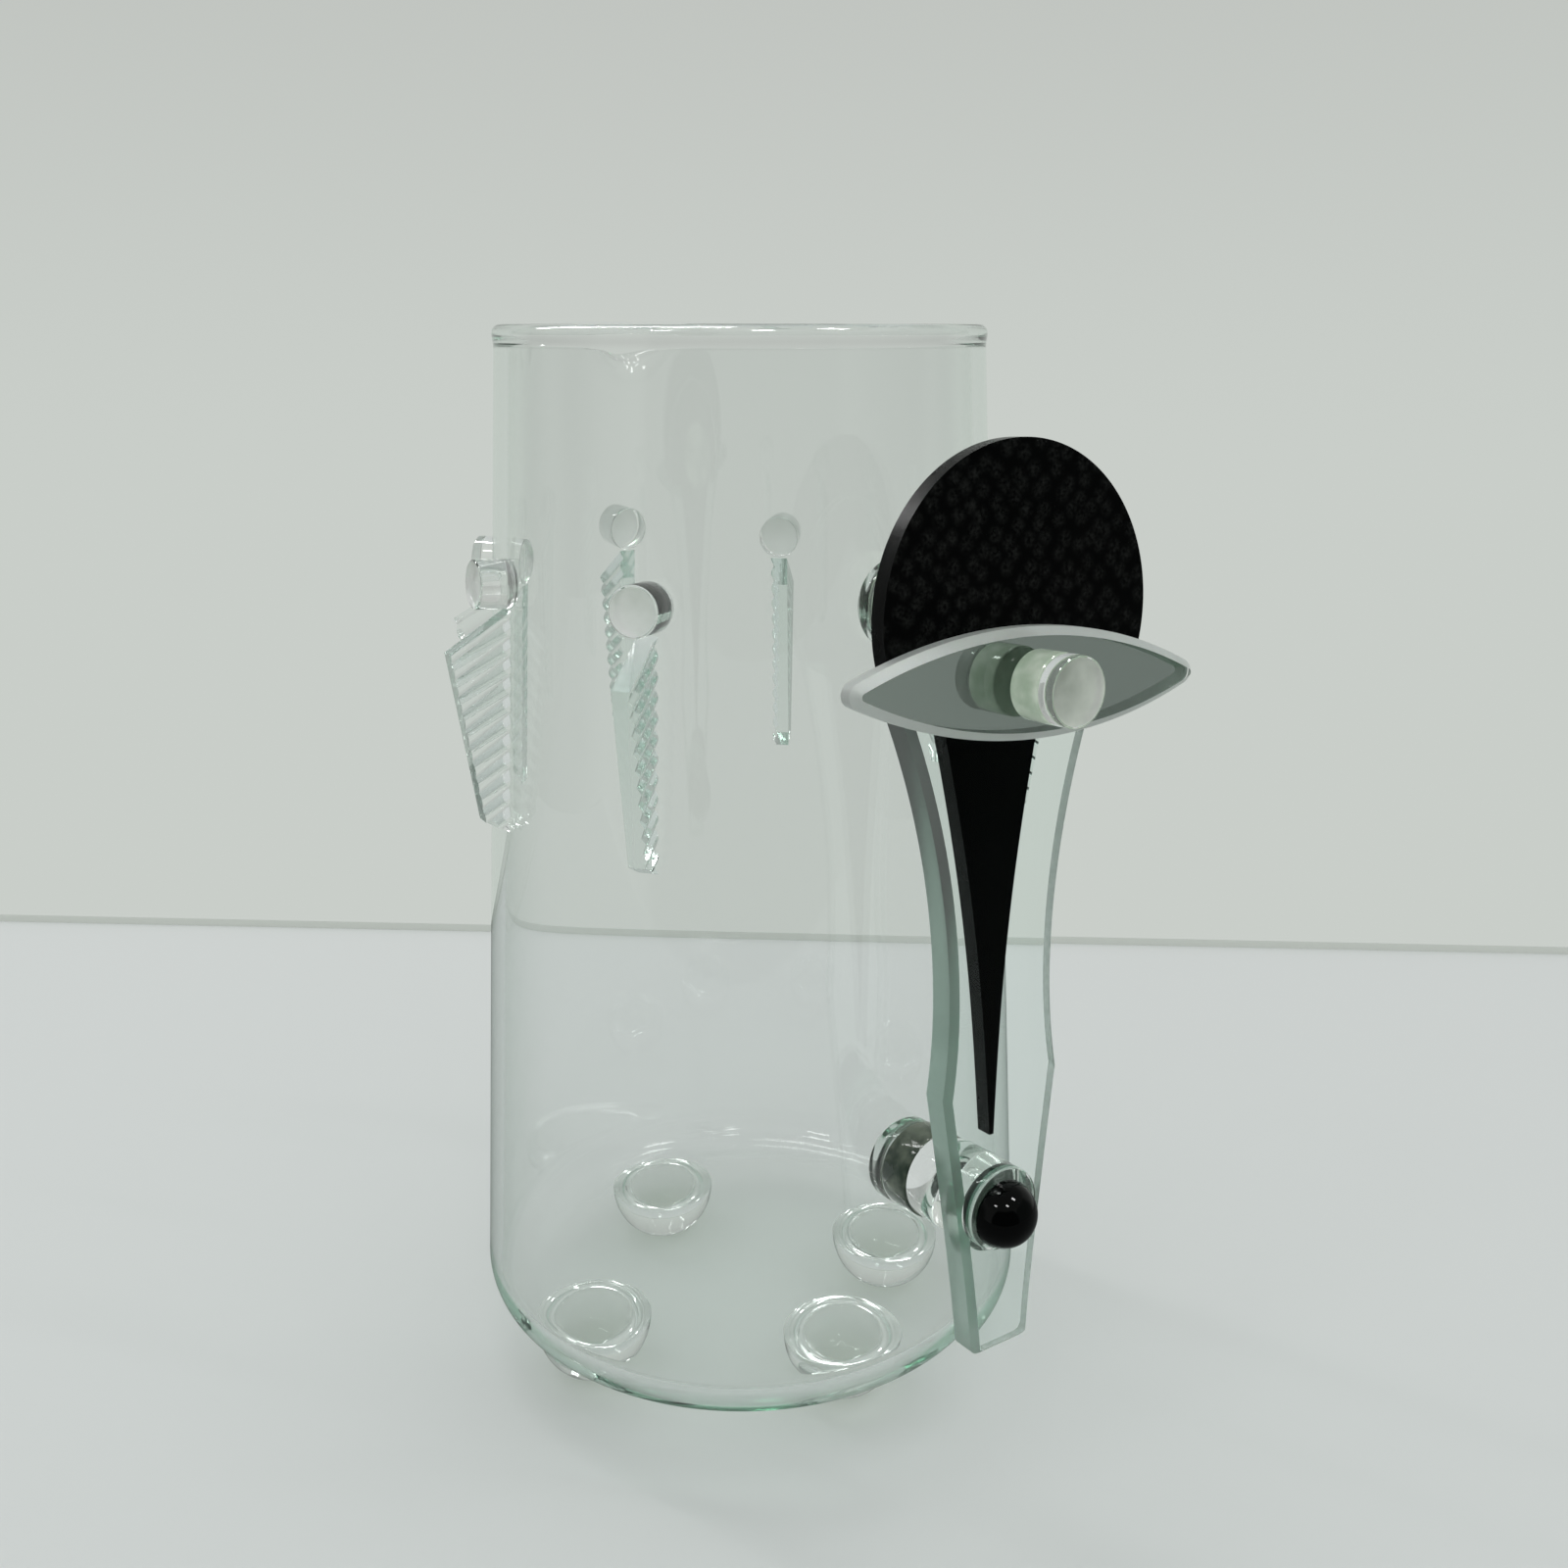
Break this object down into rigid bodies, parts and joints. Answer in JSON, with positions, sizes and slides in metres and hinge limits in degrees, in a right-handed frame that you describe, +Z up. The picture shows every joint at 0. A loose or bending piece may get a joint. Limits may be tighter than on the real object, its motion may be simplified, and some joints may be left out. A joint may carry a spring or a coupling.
{
  "type": "glass pitcher",
  "caption": "Tapered clear glass pitcher with a pouring lip, half-marble feet, reeded fins round the shoulder and a handle of rods, waisted plate, black disc and pointed oval mirror.",
  "frame": {"origin": "centre of the inside of the vessel's floor, on the vessel's axis", "axes": "+Z up along the vessel's axis, +X towards the handle, -X towards the pouring lip"},
  "size_m": [0.1699, 0.1335, 0.238],
  "materials": {
    "vessel_glass": "gloss",
    "marble_glass": "gloss",
    "clear_glass": "gloss",
    "reeded_glass": "reeded, ground edges",
    "float_glass": "gloss, ground edges",
    "dark_green_glass": "gloss",
    "pale_green_glass": "gloss",
    "black_glass": "gloss",
    "textured_black_glass": "textured satin",
    "mirror": "polished, ground bevel"
  },
  "bodies": {
    "root": {"vessel": "vessel_glass", "foot_handle": "marble_glass", "foot_right": "marble_glass", "foot_lip": "marble_glass", "foot_left": "marble_glass", "fin_stud_1": "clear_glass", "fin_stud_2": "clear_glass", "fin_stud_3": "clear_glass", "fin_stud_4": "clear_glass", "fin_stud_5": "clear_glass", "fin_stud_6": "clear_glass", "fin_stud_7": "clear_glass", "fin_blade_1": "reeded_glass", "fin_blade_2": "reeded_glass", "fin_blade_3": "reeded_glass", "fin_blade_4": "reeded_glass", "fin_blade_5": "reeded_glass", "fin_blade_6": "reeded_glass", "fin_blade_7": "reeded_glass", "upper_collar": "clear_glass", "upper_spacer": "dark_green_glass", "upper_rod": "clear_glass", "lower_collar": "clear_glass", "lower_spacer": "dark_green_glass", "lower_rod": "clear_glass", "handle_plate": "float_glass", "handle_spike": "black_glass", "handle_disc": "textured_black_glass", "eye_mirror": "mirror", "eye_knob_base": "pale_green_glass", "eye_knob": "clear_glass", "lower_boss": "clear_glass", "lower_cabochon": "black_glass"}
  },
  "joints": []
}
